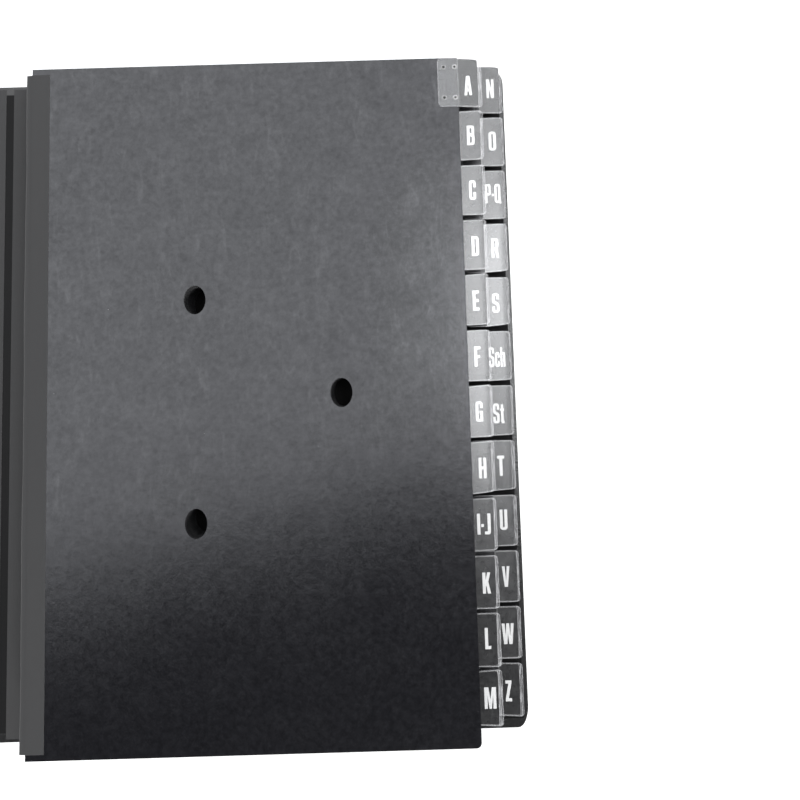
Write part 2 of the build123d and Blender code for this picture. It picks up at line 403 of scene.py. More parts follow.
def eyelet_metal(name, lo, hi):
    """Small eyelet in dull clear-coated metal, with turned marks."""
    g = Graph(name)
    mark = g.noise(g.place(), 2400.0, 2.0)
    color = g.mix(mark, grey(lo), grey(hi))
    return g.done(g.principled(color, g.span(mark, 0.3, 0.7, 0.22, 0.40), None, 1.45, metallic=0.15))


def bore_painted_shade():
    # painted shade: a near-black disc without gloss closes the eyelet's bore, standing in for the dark hole, with a
    # faint mottle
    g = Graph("eyelet_bore_painted_shade")
    dust_and_shade = g.noise(g.place(), 1800.0, 2.0)
    return g.done(g.principled(g.mix(dust_and_shade, grey(0.004), grey(0.012)), 0.9, None, 1.3, spec=0.0))


LUG_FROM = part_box("leaf_A")[1].x
M_LEAF = pressboard()
# the back cover's lining gets the lowest specular level: painted shade for the gaps between the outer tabs
M_COVERS = {name: cover_board("black_paper_" + name, (box[0].x + box[1].x) / 2, (box[1].x - box[0].x) / 2,
                               0.04 if name == "back_cover" else 0.10, 0.16 if name == "back_cover" else 0.32)
            for name, box in (("back_cover", (back_lo, back_hi)), ("front_cover", (front_lo, front_hi)),
                              ("spine_board", (spine_lo, spine_hi)))}
M_CLOTH = book_cloth()
# how strongly each sleeve reflects against the usual one, in steps: painted highlight and painted shade for how
# brightly each sleeve catches the lamp
PAINTED_SHEEN_GAIN = {"A": 0.8, "B": 1.15, "C": 1.3, "D": 1.15, "E": 1.15, "F": 1.4, "G": 1.6, "H": 1.5, "K": 0.8, "L": 0.6,
         "M": 0.45, "O": 1.3, "PQ": 1.3, "R": 1.6, "S": 1.3, "St": 0.8, "T": 0.8, "W": 0.8, "Z": 0.45}
M_FILMS = {gain: clear_film("clear_film_%03d" % round(100 * gain), gain) for gain in (0.45, 0.6, 0.8, 1.0, 1.15, 1.3, 1.4, 1.5, 1.6)}
# bright fold and rim bands: partly real milky whitening, partly painted highlight
M_FOLD = film_edge("film_fold", 0.015, 0.17, True)
M_RIM = film_edge("film_rim", 0.10, 0.26, False)
M_CARD = insert_card()
M_INK = white_ink()
M_CORE = card_core()
M_EYELET = eyelet_metal("eyelet_bright", 0.22, 0.33)
# a darker copy of the same eyelet metal: painted shade for the two eyelets on the leaf, which show fainter
M_EYELET_SHADED = eyelet_metal("eyelet_painted_shade", 0.15, 0.24)
M_BORE_SHADE = bore_painted_shade()


# -------------------------------------------------------------- mesh helpers
def add_mesh(name, verts, faces, materials, slots=None, smooth=False):
    mesh = bpy.data.meshes.new(name)
    mesh.from_pydata([tuple(v) for v in verts], [], faces)
    for m in materials:
        mesh.materials.append(m)
    if slots is not None:
        mesh.polygons.foreach_set("material_index", slots)
    if smooth:
        mesh.polygons.foreach_set("use_smooth", [True] * len(mesh.polygons))
    mesh.update()
    mesh.validate()
    obj = bpy.data.objects.new(name, mesh)
    scene.collection.objects.link(obj)
    return obj


def sheet_solid(name, grid_a, grid_b, materials, slot_of=None, smooth=True):
    """Closed thin solid between two point grids of the same size: outside and inside skins and a rim."""
    rows, cols = len(grid_a), len(grid_a[0])
    verts = [p for row in grid_a for p in row] + [p for row in grid_b for p in row]
    n = rows * cols
    faces, slots = [], []

    def at(i, j, side):
        return side * n + i * cols + j

    for i in range(rows - 1):
        for j in range(cols - 1):
            s = slot_of(i, j) if slot_of else 0
            faces.append((at(i, j, 0), at(i + 1, j, 0), at(i + 1, j + 1, 0), at(i, j + 1, 0)))
            faces.append((at(i, j, 1), at(i, j + 1, 1), at(i + 1, j + 1, 1), at(i + 1, j, 1)))
            slots += [s, s]
    rim = max(0, len(materials) - 1)
    for i in range(rows - 1):
        faces.append((at(i, 0, 0), at(i, 0, 1), at(i + 1, 0, 1), at(i + 1, 0, 0)))
        faces.append((at(i, cols - 1, 0), at(i + 1, cols - 1, 0), at(i + 1, cols - 1, 1), at(i, cols - 1, 1)))
        slots += [rim, rim]
    for j in range(cols - 1):
        faces.append((at(0, j, 0), at(0, j + 1, 0), at(0, j + 1, 1), at(0, j, 1)))
        faces.append((at(rows - 1, j, 0), at(rows - 1, j, 1), at(rows - 1, j + 1, 1), at(rows - 1, j + 1, 0)))
        slots += [rim, rim]
    obj = add_mesh(name, verts, faces, materials, slots, smooth)
    if smooth:
        obj.data.set_sharp_from_angle(angle=math.radians(40))
    return obj


# ------------------------------------------------------------------ letters
def rounded(points):
    """Closed outline with a radius at each corner: (x, y, r)."""
    out = []
    n = len(points)
    for i in range(n):
        p = points[i]
        x, y, r = (*p, 0.0)[:3]
        if r <= 0:
            out.append((x, y))
            continue
        a = Vector(points[i - 1][:2]) - Vector((x, y))
        b = Vector(points[(i + 1) % n][:2]) - Vector((x, y))
        la, lb = a.length, b.length
        a.normalize(); b.normalize()
        angle = a.angle(b)
        cut = min(r / math.tan(angle / 2), 0.49 * la, 0.49 * lb)
        rr = cut * math.tan(angle / 2)
        centre = Vector((x, y)) + (a + b).normalized() * (rr / math.sin(angle / 2))
        start = Vector((x, y)) + a * cut - centre
        end = Vector((x, y)) + b * cut - centre
        t0 = math.atan2(start.y, start.x)
        sweep = math.atan2(end.y, end.x) - t0
        sweep = (sweep + math.pi) % (2 * math.pi) - math.pi
        for k in range(7):
            t = t0 + sweep * k / 6
            out.append((centre.x + rr * math.cos(t), centre.y + rr * math.sin(t)))
    return out


def bowl(x0, y0, x1, y1, r):
    return [(x0, y0, r), (x1, y0, r), (x1, y1, r), (x0, y1, r)]


# Each glyph: advance width, then outlines in units of the cap height.
GLYPHS = {
    "A": (0.44, [[(0, 0), (0.120, 1), (0.320, 1), (0.44, 0), (0.285, 0), (0.262, 0.2), (0.178, 0.2), (0.155, 0)],
                 [(0.191, 0.33), (0.249, 0.33), (0.22, 0.74)]]),
    "B": (0.43, [[(0, 0), (0.43, 0, 0.14), (0.43, 0.50, 0.09), (0.375, 0.525, 0.02), (0.42, 0.56, 0.08),
                  (0.42, 1, 0.13), (0, 1)],
                 [(0.155, 0.125), (0.275, 0.125, 0.04), (0.275, 0.44, 0.04), (0.155, 0.44)],
                 [(0.155, 0.60), (0.268, 0.60, 0.04), (0.268, 0.875, 0.04), (0.155, 0.875)]]),
    "C": (0.43, [[(0.43, 0.63), (0.43, 1, 0.16), (0, 1, 0.16), (0, 0, 0.16), (0.43, 0, 0.16), (0.43, 0.39),
                  (0.265, 0.39), (0.265, 0.125, 0.045), (0.17, 0.125, 0.045), (0.17, 0.875, 0.045),
                  (0.265, 0.875, 0.045), (0.265, 0.63)]]),
    "D": (0.43, [[(0, 0), (0.43, 0, 0.16), (0.43, 1, 0.16), (0, 1)],
                 [(0.17, 0.13), (0.262, 0.13, 0.045), (0.262, 0.87, 0.045), (0.17, 0.87)]]),
    "E": (0.37, [[(0, 0), (0.37, 0), (0.37, 0.15), (0.17, 0.15), (0.17, 0.43), (0.34, 0.43), (0.34, 0.575),
                  (0.17, 0.575), (0.17, 0.85), (0.37, 0.85), (0.37, 1), (0, 1)]]),
    "F": (0.36, [[(0, 0), (0.17, 0), (0.17, 0.42), (0.33, 0.42), (0.33, 0.57), (0.17, 0.57), (0.17, 0.85),
                  (0.36, 0.85), (0.36, 1), (0, 1)]]),
    "G": (0.43, [[(0.43, 0.66), (0.43, 1, 0.16), (0, 1, 0.16), (0, 0, 0.16), (0.29, 0, 0.09), (0.315, 0.075),
                  (0.335, 0), (0.43, 0), (0.43, 0.53), (0.225, 0.53), (0.225, 0.405), (0.265, 0.405),
                  (0.265, 0.125, 0.045), (0.17, 0.125, 0.045), (0.17, 0.875, 0.045), (0.265, 0.875, 0.045),
                  (0.265, 0.66)]]),
    "H": (0.43, [[(0, 0), (0.165, 0), (0.165, 0.43), (0.265, 0.43), (0.265, 0), (0.43, 0), (0.43, 1), (0.265, 1),
                  (0.265, 0.58), (0.165, 0.58), (0.165, 1), (0, 1)]]),
    "I": (0.17, [[(0, 0), (0.17, 0), (0.17, 1), (0, 1)]]),
    "J": (0.33, [[(0.33, 1), (0.33, 0, 0.13), (0, 0, 0.03), (0, 0.14), (0.16, 0.14, 0.04), (0.16, 1)]]),
    "-": (0.15, [[(0, 0.355), (0.15, 0.355), (0.15, 0.50), (0, 0.50)]]),
    "K": (0.45, [[(0, 0), (0.17, 0), (0.17, 0.30), (0.205, 0.38), (0.275, 0), (0.45, 0), (0.315, 0.56), (0.44, 1),
                  (0.27, 1), (0.17, 0.64), (0.17, 1), (0, 1)]]),
    "L": (0.33, [[(0, 0), (0.33, 0), (0.33, 0.15), (0.17, 0.15), (0.17, 1), (0, 1)]]),
    "M": (0.58, [[(0, 0), (0.15, 0), (0.15, 0.62), (0.235, 0), (0.345, 0), (0.43, 0.62), (0.43, 0), (0.58, 0),
                  (0.58, 1), (0.375, 1), (0.29, 0.43), (0.205, 1), (0, 1)]]),
    "N": (0.44, [[(0, 0), (0.15, 0), (0.15, 0.54), (0.27, 0), (0.44, 0), (0.44, 1), (0.29, 1), (0.29, 0.48),
                  (0.17, 1), (0, 1)]]),
    "O": (0.43, [bowl(0, 0, 0.43, 1, 0.17), bowl(0.165, 0.125, 0.265, 0.875, 0.046)]),
    "P": (0.42, [[(0, 0), (0.17, 0), (0.17, 0.40), (0.42, 0.40, 0.13), (0.42, 1, 0.13), (0, 1)],
                 [(0.17, 0.53), (0.26, 0.53, 0.04), (0.26, 0.87, 0.04), (0.17, 0.87)]]),
    "Q": (0.47, [[(0, 1, 0.17), (0.43, 1, 0.17), (0.43, 0.12), (0.48, 0.03), (0.415, -0.07), (0.34, 0.0),
                  (0, 0, 0.17)], bowl(0.165, 0.125, 0.265, 0.875, 0.046)]),
    "R": (0.43, [[(0, 0), (0.17, 0), (0.17, 0.42), (0.215, 0.42, 0.02), (0.265, 0), (0.435, 0), (0.37, 0.48, 0.03),
                  (0.42, 0.56, 0.05), (0.42, 1, 0.13), (0, 1)],
                 [(0.17, 0.55), (0.26, 0.55, 0.04), (0.26, 0.87, 0.04), (0.17, 0.87)]]),
    "S": (0.42, [[(0.42, 0.68), (0.42, 1, 0.15), (0, 1, 0.15), (0, 0.53, 0.12), (0.26, 0.385, 0.04),
                  (0.26, 0.125, 0.04), (0.165, 0.125, 0.04), (0.165, 0.33), (0, 0.33), (0, 0, 0.15),
                  (0.42, 0, 0.15), (0.42, 0.48, 0.12), (0.165, 0.62, 0.04), (0.165, 0.875, 0.04),
                  (0.26, 0.875, 0.04), (0.26, 0.68)]]),
    "T": (0.41, [[(0.12, 0), (0.29, 0), (0.29, 0.85), (0.41, 0.85), (0.41, 1), (0, 1), (0, 0.85), (0.12, 0.85)]]),
    "U": (0.43, [[(0, 1), (0, 0, 0.16), (0.43, 0, 0.16), (0.43, 1), (0.265, 1), (0.265, 0.125, 0.045),
                  (0.165, 0.125, 0.045), (0.165, 1)]]),
    "V": (0.43, [[(0.125, 0), (0.305, 0), (0.43, 1), (0.275, 1), (0.215, 0.30), (0.155, 1), (0, 1)]]),
    "W": (0.60, [[(0.09, 0), (0.25, 0), (0.30, 0.52), (0.35, 0), (0.51, 0), (0.60, 1), (0.455, 1), (0.415, 0.38),
                  (0.37, 1), (0.23, 1), (0.185, 0.38), (0.145, 1), (0, 1)]]),
    "Z": (0.35, [[(0, 0), (0.35, 0), (0.35, 0.15), (0.17, 0.15), (0.35, 0.86), (0.35, 1), (0.01, 1), (0.01, 0.85),
                  (0.175, 0.85), (0, 0.14)]]),
    "c": (0.35, [[(0.35, 0.47), (0.35, 0.75, 0.13), (0, 0.75, 0.13), (0, 0, 0.13), (0.35, 0, 0.13), (0.35, 0.28),
                  (0.21, 0.28), (0.21, 0.115, 0.025), (0.15, 0.115, 0.025), (0.15, 0.635, 0.025),
                  (0.21, 0.635, 0.025), (0.21, 0.47)]]),
    "h": (0.36, [[(0, 0), (0.15, 0), (0.15, 0.61, 0.02), (0.21, 0.61, 0.02), (0.21, 0), (0.36, 0), (0.36, 0.75, 0.10),
                  (0.17, 0.75, 0.02), (0.15, 0.72), (0.15, 1), (0, 1)]]),
    "t": (0.27, [[(0.27, 0), (0.27, 0.12), (0.215, 0.12, 0.02), (0.215, 0.62), (0.27, 0.62), (0.27, 0.75),
                  (0.215, 0.75), (0.215, 0.94), (0.06, 0.94), (0.06, 0.75), (0, 0.75), (0, 0.62), (0.06, 0.62),
                  (0.06, 0, 0.09)]]),
}
CAP = 10.2 * MM
SQUEEZE = {"C": 0.80, "D": 0.84, "G": 0.84, "Sch": 0.68, "P-Q": 0.72, "St": 0.76, "I-J": 0.88, "M": 0.98, "W": 1.0}


def letter_piece(name, label, x_mid, y_mid, z, thick):
    data = bpy.data.curves.new(name, "CURVE")
    data.dimensions = "2D"
    data.fill_mode = "BOTH"
    data.extrude = thick / 2
    gap = 0.05
    squeeze = SQUEEZE.get(label, 0.88)
    width = sum(GLYPHS[c][0] for c in label) + gap * (len(label) - 1)
    at = -width / 2
    for c in label:
        for outline in GLYPHS[c][1]:
            pts = rounded(outline)
            spline = data.splines.new("POLY")
            spline.points.add(len(pts) - 1)
            for p, (px, py) in zip(spline.points, pts):
                p.co = ((at + px) * CAP * squeeze, (py - 0.5) * CAP, 0, 1)
            spline.use_cyclic_u = True
        at += GLYPHS[c][0] + gap
    temp = bpy.data.objects.new(name + "_outline", data)
    scene.collection.objects.link(temp)
    bpy.context.view_layer.update()
    mesh = bpy.data.meshes.new_from_object(temp.evaluated_get(bpy.context.evaluated_depsgraph_get()))
    bpy.data.objects.remove(temp)
    mesh.name = name
    mesh.materials.clear()
    mesh.materials.append(M_INK)
    mesh.transform(Matrix.Translation((x_mid, y_mid, z)))
    obj = bpy.data.objects.new(name, mesh)
    scene.collection.objects.link(obj)
    return obj


# --------------------------------------------------------------------- tabs
FILM_T = 0.15 * MM
R_IN, R_OUT = 2.2 * MM, 1.9 * MM
BORDER = 0.27 * MM


def corner_inset(d, r):
    """How far a rounded corner of radius r steps in, at distance d from the side."""
    if d >= r:
        return 0.0
    return r - math.sqrt(max(0.0, r * r - (r - d) ** 2))


def film_piece(name, x0, x1, y0, y1, z_mid, half, seed, slope, margin, gain, inner_shade_gain):
    """Film folded round the leaf's edge: upper skin, round fold, lower skin."""
    r = random.Random(seed)
    depth = x1 - x0
    out = x1 - 12.2 * MM                       # the leaf's edge
    tail = [0.46 + (t - 0.46) * (margin - 0.4) / 1.5 for t in (1.95, 1.72, 1.52, 1.28, 1.06, 0.92, 0.80, 0.66)]
    xs = [0, BORDER * 0.5, BORDER, 1.1 * MM, 1.7 * MM, R_IN, 5 * MM, 8 * MM, depth - 12.2 * MM,
          depth - 9 * MM, depth - 6 * MM, depth - 4 * MM] + [depth - t * MM for t in tail]
    mid = half - FILM_T / 2
    path = [(x0 + d, mid) for d in xs]
    ridge = {len(xs) - 7: 0.03 * MM, len(xs) - 6: 0.03 * MM, len(xs) - 4: 0.02 * MM}      # heat-set creases beside the fold
    for i, lift in ridge.items():
        path[i] = (path[i][0], mid + lift)
    centre = x1 - half
    for k in range(0, 9):
        a = math.pi / 2 - math.pi * k / 8
        path.append((centre + mid * math.cos(a), mid * math.sin(a)))
    path += [(x0 + d, -mid) for d in reversed(xs)]
    normals = []
    for i in range(len(path)):
        a = Vector(path[max(0, i - 1)]); b = Vector(path[min(len(path) - 1, i + 1)])
        t = (b - a).normalized()
        normals.append(Vector((-t.y, t.x)))
    vs = [-1.0, -0.98] + [-0.9 + 0.15 * k for k in range(13)] + [0.98, 1.0]
    hh = (y1 - y0) / 2
    ym = (y0 + y1) / 2
    phase = [r.uniform(0, 6.28) for _ in range(4)]
    bow = r.uniform(-0.10, 0.05) * MM
    a_grid, b_grid = [], []
    for (px, pz), nv in zip(path, normals):
        inset = max(corner_inset(px - x0, R_IN), corner_inset(x1 - px, R_OUT))
        reach = hh - inset
        row_a, row_b = [], []
        for v in vs:
            if abs(v) > 0.97 and abs(v) < 1.0:
                y = ym + math.copysign(reach - BORDER, v)
            else:
                y = ym + v * reach
            loose = max(0.0, min(1.0, (px - (x1 - 3.2 * MM)) / (2.4 * MM)))
            turned = max(0.0, 1.0 - abs(px - (x1 - 1.6 * MM)) / (1.0 * MM)) * abs(v) ** 6 * 0.40 * MM
            wave = 0.045 * MM * math.sin(4.1 * v + phase[0]) + 0.03 * MM * math.sin(9.7 * v + phase[1])
            shift = loose * (wave - abs(wave) * 0.3 + bow * v * v - 0.06 * MM) - turned
            swell = 0.0
            if px > out:                 # the loose part of the sleeve isn't quite flat
                along = min(1.0, (px - out) / (12.2 * MM))
                swell = 0.030 * MM * math.sin(math.pi * along) * (0.5 + 0.5 * math.cos(v * 2.2 + phase[2]))
                swell *= -1 if pz > 0 else 1
            share = (y - y0) / (y1 - y0)
            drop = (slope[0] * (1 - share) + slope[1] * share) * max(0.0, px - out)
            row_a.append((px + shift + nv.x * FILM_T / 2, y + drop, z_mid + pz + nv.y * FILM_T / 2 + swell))
            row_b.append((px + shift - nv.x * FILM_T / 2, y + drop, z_mid + pz - nv.y * FILM_T / 2 + swell))
        a_grid.append(row_a)
        b_grid.append(row_b)
    n_x, n_path, n_v = len(xs), len(path), len(vs)
    first = n_x - len(tail)

    def slot_of(i, j):
        k = min(i, n_path - 2 - i)           # the same strip on the upper and the lower skin
        if k >= n_x + 1:
            return 2
        if k >= first:
            return 1 if 0 < j < n_v - 2 and k not in (first + 1, first + 4) else 2
        if j in (0, n_v - 2) or k < 2:
            return 2
        # the film on the leaf takes its own copy, a duller one on most tabs: painted shade for the dark gaps between
        # tabs
        return 3 if k < 8 else 0             # on the leaf, or over the insert

    return sheet_solid(name, a_grid, b_grid, [M_FILMS[gain], M_FOLD, M_RIM, M_FILMS[inner_shade_gain]], slot_of)


def insert_piece(name, x0, x1, y0, y1, z_mid, thick, seed, slope):
    """Card insert with softened corners, very slightly crowned, its pale core bared at the cut."""
    r = random.Random(seed)
    rc = 0.5 * MM
    cut = 0.22 * MM
    us = [0.0, cut / (x1 - x0)] + [0.12, 0.3, 0.5, 0.7, 0.88, 1.0]
    vs = [0.0, 0.10 * MM / (y1 - y0)] + [k / 12 for k in range(1, 12)] + [1 - 0.10 * MM / (y1 - y0), 1.0]
    skew = r.uniform(-0.08, 0.08) * MM
    a_grid, b_grid = [], []
    for u in us:
        px = x0 + (x1 - x0) * u
        inset = max(corner_inset(px - x0, rc), corner_inset(x1 - px, rc))
        ra, rb = [], []
        for v in vs:
            y = y0 + inset + (y1 - y0 - 2 * inset) * v + skew * (u - 0.5)
            y += (slope[0] * (1 - v) + slope[1] * v) * (px - x0)
            crown = 0.02 * MM * math.sin(math.pi * u) * math.sin(math.pi * v)
            ra.append((px, y, z_mid + thick / 2 + crown))
            rb.append((px, y, z_mid - thick / 2 + crown))
        a_grid.append(ra)
        b_grid.append(rb)
    return sheet_solid(name, a_grid, b_grid, [M_CARD, M_CORE],
                       lambda i, j: 1 if i == 0 or j in (0, len(vs) - 2) else 0)


def eyelet_piece(name, places, z_mid, half):
    """Eyelets: a rolled ring over each film face, its bore closed by a flat near-black disc in painted shade for the
    dark hole.
    The two on the leaf are pressed flatter and wider open than the two beside the sleeve, and take a darker copy of the
    metal as painted shade."""
    verts, faces, slots = [], [], []
    seg = 28
    for number, (cx, cy) in enumerate(places):
        # the two on the leaf take the darker copy of the metal: painted shade
        ring = 2 if number < 2 else 0
        inner, outer, lip = ((0.68 * MM, 1.24 * MM, 0.05 * MM), (0.60 * MM, 1.28 * MM, 0.08 * MM))[number >= 2]
        mid, wide = (inner + outer) / 2, (outer - inner) / 2
        rows = [(mid + wide * math.cos(math.pi * k / 8), 0.012 * MM + lip * math.sin(math.pi * k / 8))
                for k in range(9)]
        rows.append((inner * 0.94, 0.004 * MM))
        m = len(rows)
        for side in (1, -1):
            base = len(verts)
            for s in range(seg):
                t = 2 * math.pi * s / seg
                for rad, h in rows:
                    verts.append((cx + rad * math.cos(t), cy + rad * math.sin(t), z_mid + side * (half + h)))
            for s in range(seg):
                for k in range(m - 1):
                    q = (base + s * m + k, base + ((s + 1) % seg) * m + k,
                         base + ((s + 1) % seg) * m + k + 1, base + s * m + k + 1)
                    faces.append(q if side > 0 else q[::-1])
                    slots.append(ring)
            low = len(verts)                     # closed underside, and the bore floor in painted shade
            for s in range(seg):
                t = 2 * math.pi * s / seg
                verts.append((cx + outer * 0.995 * math.cos(t), cy + outer * 0.995 * math.sin(t),
                              z_mid + side * (half + 0.002 * MM)))
            for s in range(seg):
                q = (base + s * m, low + s, low + (s + 1) % seg, base + ((s + 1) % seg) * m)
                faces.append(q if side > 0 else q[::-1])
                slots.append(ring)
            floor_ring = [base + s * m + m - 1 for s in range(seg)]
            faces.append(tuple(floor_ring if side > 0 else floor_ring[::-1]))
            slots.append(1)
            under = [low + s for s in range(seg)]
            faces.append(tuple(under[::-1] if side > 0 else under))
            slots.append(1)
    obj = add_mesh(name, verts, faces, [M_EYELET, M_BORE_SHADE, M_EYELET_SHADED], slots, True)
    obj.data.set_sharp_from_angle(angle=math.radians(50))
    return obj


# printed label's centre: past the leaf's edge, and above the tab's middle, in mm
LABEL_AT = {"A": (5.08, -1.99), "B": (5.6, 0.2), "C": (5.56, 0.03), "D": (6.0, -0.6), "E": (5.43, -0.24),
            "F": (5.22, -0.44), "G": (5.19, 0.06), "H": (5.9, 0.0), "IJ": (5.6, 0.42), "K": (5.96, -0.43),
            "L": (5.67, 0.64), "M": (5.85, -0.02), "N": (5.97, 0.25), "O": (6.2, 0.38), "PQ": (5.6, 0.64),
            "R": (5.63, 0.02), "S": (4.98, -0.64), "Sch": (4.65, -0.59), "St": (4.5, -1.5), "T": (4.75, -0.23),
            "U": (5.11, 0.41), "V": (5.3, -0.16), "W": (5.29, -0.7), "Z": (4.6, -1.0)}
# slopes of each sleeve's lower and upper edge: none of them stands quite square to its leaf
SLOPE = {"A": (-0.07, -0.075), "B": (0.045, 0.025), "C": (0.0, 0.02), "D": (0.02, 0.0), "E": (0.04, 0.07),
         "F": (0.02, 0.015), "G": (0.02, 0.055), "H": (0.10, 0.05), "IJ": (0.03, 0.03), "L": (-0.02, 0.0),
         "M": (-0.06, 0.05), "N": (-0.03, -0.05), "O": (-0.03, 0.02), "R": (0.06, 0.0), "S": (0.08, 0.0),
         "Sch": (0.03, 0.0), "St": (0.02, 0.0), "T": (0.06, -0.02), "U": (0.015, 0.0), "Z": (-0.07, -0.03)}

# clear margin between the insert and the sleeve's fold, in mm
MARGIN = {"A": 2.2, "B": 1.7, "C": 1.5, "D": 1.6, "E": 1.5, "F": 1.3, "G": 1.5, "H": 1.8, "IJ": 1.6, "K": 1.7, "L": 2.0,
          "M": 2.3, "N": 1.5, "O": 1.1, "PQ": 1.2, "R": 1.2, "S": 1.1, "Sch": 1.1, "St": 1.2, "T": 2.0, "U": 1.7,
          "V": 1.2, "W": 1.8, "Z": 1.9}

for index, key in enumerate(LETTERS):
    lo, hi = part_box("tab_" + key)
    llo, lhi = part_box("leaf_" + key)
    body = "leaf_" + key
    z_mid = (llo.z + lhi.z) / 2
    half = (lhi.z - llo.z) / 2 + 0.17 * MM
    edge = hi.x - 12.2 * MM
    slope = SLOPE.get(key, (0.0, 0.0))
    # every tab but A gets the duller film on the leaf: painted shade keeping the gaps between tabs dark
    film = film_piece("film_" + key, lo.x, hi.x, lo.y, hi.y, z_mid, half, 100 + index, slope,
                      MARGIN[key], PAINTED_SHEEN_GAIN.get(key, 1.0), 1.0 if key == "A" else 0.45)
    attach(film, body)
    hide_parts("tab_" + key)
    y_mid = (lo.y + hi.y) / 2
    card = insert_piece("insert_" + key, edge + 0.03 * MM, hi.x - MARGIN[key] * MM, lo.y + 0.5 * MM,
                        hi.y - 0.5 * MM, z_mid, 0.3 * MM, 300 + index, slope)
    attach(card, body)
    dx, dy = LABEL_AT[key]
    ink = letter_piece("letter_" + key, LABELS.get(key, key), edge + dx * MM, y_mid + dy * MM,
                       z_mid + 0.15 * MM + 0.035 * MM, 0.02 * MM)
    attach(ink, body)
    places = [(edge + ex * MM, y_mid + s * 8.05 * MM) for ex in (-7.2, -1.6) for s in (-1, 1)]
    eyelets = eyelet_piece("eyelets_" + key, places, z_mid, half)
    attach(eyelets, body)

# ------------------------------------------------------------- CAD surfaces
for key in LETTERS:
    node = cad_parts["leaf_" + key]
    node.data.materials.clear()
    node.data.materials.append(M_LEAF)
for name in ("back_cover", "front_cover", "spine_board"):
    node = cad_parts[name]
    node.data.materials.clear()
    node.data.materials.append(M_COVERS[name])

# ---------------------------------------------------- cloth: pleats and hinges
g_lo, g_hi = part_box("expanding_gusset")
X_OUT = g_lo.x
X_LEAF = leaf_lo.x
CLOTH = 0.22 * MM
Y_A, Y_B = g_lo.y, g_hi.y


def strip_along_y(name, profile, thick, wobble, seed, cols=28, y_a=None, y_b=None, taper=0.0):
    """Cloth strip: a profile in (x, z), run along Y with a small uneven swell."""
    r = random.Random(seed)
    ph = [r.uniform(0, 6.28) for _ in range(3)]
    y_a = Y_A if y_a is None else y_a
    y_b = Y_B if y_b is None else y_b
    normals = []
    for i in range(len(profile)):
        a = Vector(profile[max(0, i - 1)]); b = Vector(profile[min(len(profile) - 1, i + 1)])
        t = (b - a).normalized()
        normals.append(Vector((-t.y, t.x)))
    ga, gb = [], []
    for i, ((px, pz), nv) in enumerate(zip(profile, normals)):
        ends = math.sin(math.pi * i / (len(profile) - 1))
        ra, rb = [], []
        for j in range(cols):
            v = j / (cols - 1)
            y = y_a + (y_b - y_a) * v
            w = wobble * ends * (0.6 * math.sin(17 * v + ph[0]) + 0.4 * math.sin(41 * v + ph[1]))
            ra.append((px + w + nv.x * thick / 2, y, pz + nv.y * thick / 2))
            rb.append((px + w - nv.x * thick / 2, y, pz - nv.y * thick / 2))
        ga.append(ra)
        gb.append(rb)
    return sheet_solid(name, gb, ga, [M_CLOTH])


def pleat_profile(z0, z1, x_in, x_out, bulge):
    """From the lower leaf's edge out to a round fold and back to the upper leaf's edge."""
    pts = []
    zm = (z0 + z1) / 2
    for k in range(13):
        a = -math.pi / 2 + math.pi * k / 12
        s = math.cos(a) ** 0.55 if math.cos(a) > 0 else 0.0
        pts.append((x_in - (x_in - x_out) * s, zm + (z1 - z0) / 2 * math.sin(a)))
    return pts


order = LETTERS[::-1]
z_below = back_hi.z + CLOTH * 0.7
for index, key in enumerate(order):
    llo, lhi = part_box("leaf_" + key)
    z_here = (llo.z + lhi.z) / 2
    start_z = z_below + (CLOTH * 0.5 + 0.02 * MM if index else 0.0)
    end_z = z_here - CLOTH * 0.5 - 0.02 * MM
    uneven = random.Random(700 + index).uniform(0.0, 0.75) * MM
    prof = pleat_profile(start_z, end_z, X_LEAF - 0.10 * MM, X_OUT + 0.35 * MM + uneven, 0.0)
    pleat = strip_along_y("gusset_pleat_" + key, prof, CLOTH * 0.8, 0.22 * MM, 500 + index)
    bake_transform(pleat)
    if index == 0:
        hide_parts("expanding_gusset")
    z_below = z_here

# the gusset's hem, glued on the top leaf and on the back cover
HEM = [(X_LEAF - 0.05 * MM, TOP_Z + 0.08 * MM), (X_LEAF + 3 * MM, TOP_Z + 0.09 * MM),
       (X_LEAF + 6 * MM, TOP_Z + 0.09 * MM), (X_LEAF + 8.8 * MM, TOP_Z + 0.09 * MM),
       (X_LEAF + 9 * MM, TOP_Z + 0.07 * MM)]
hem = strip_along_y("gusset_hem_top", HEM, 0.13 * MM, 0.0, 900)
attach(hem, "leaf_A")
BASE = [(X_OUT + 0.4 * MM, back_hi.z + 0.12 * MM), (X_LEAF, back_hi.z + 0.12 * MM),
        (X_LEAF + 6 * MM, back_hi.z + 0.12 * MM), (X_LEAF + 12 * MM, back_hi.z + 0.12 * MM)]
base = strip_along_y("gusset_hem_base", BASE, 0.18 * MM, 0.0, 901)
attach(base, "back")

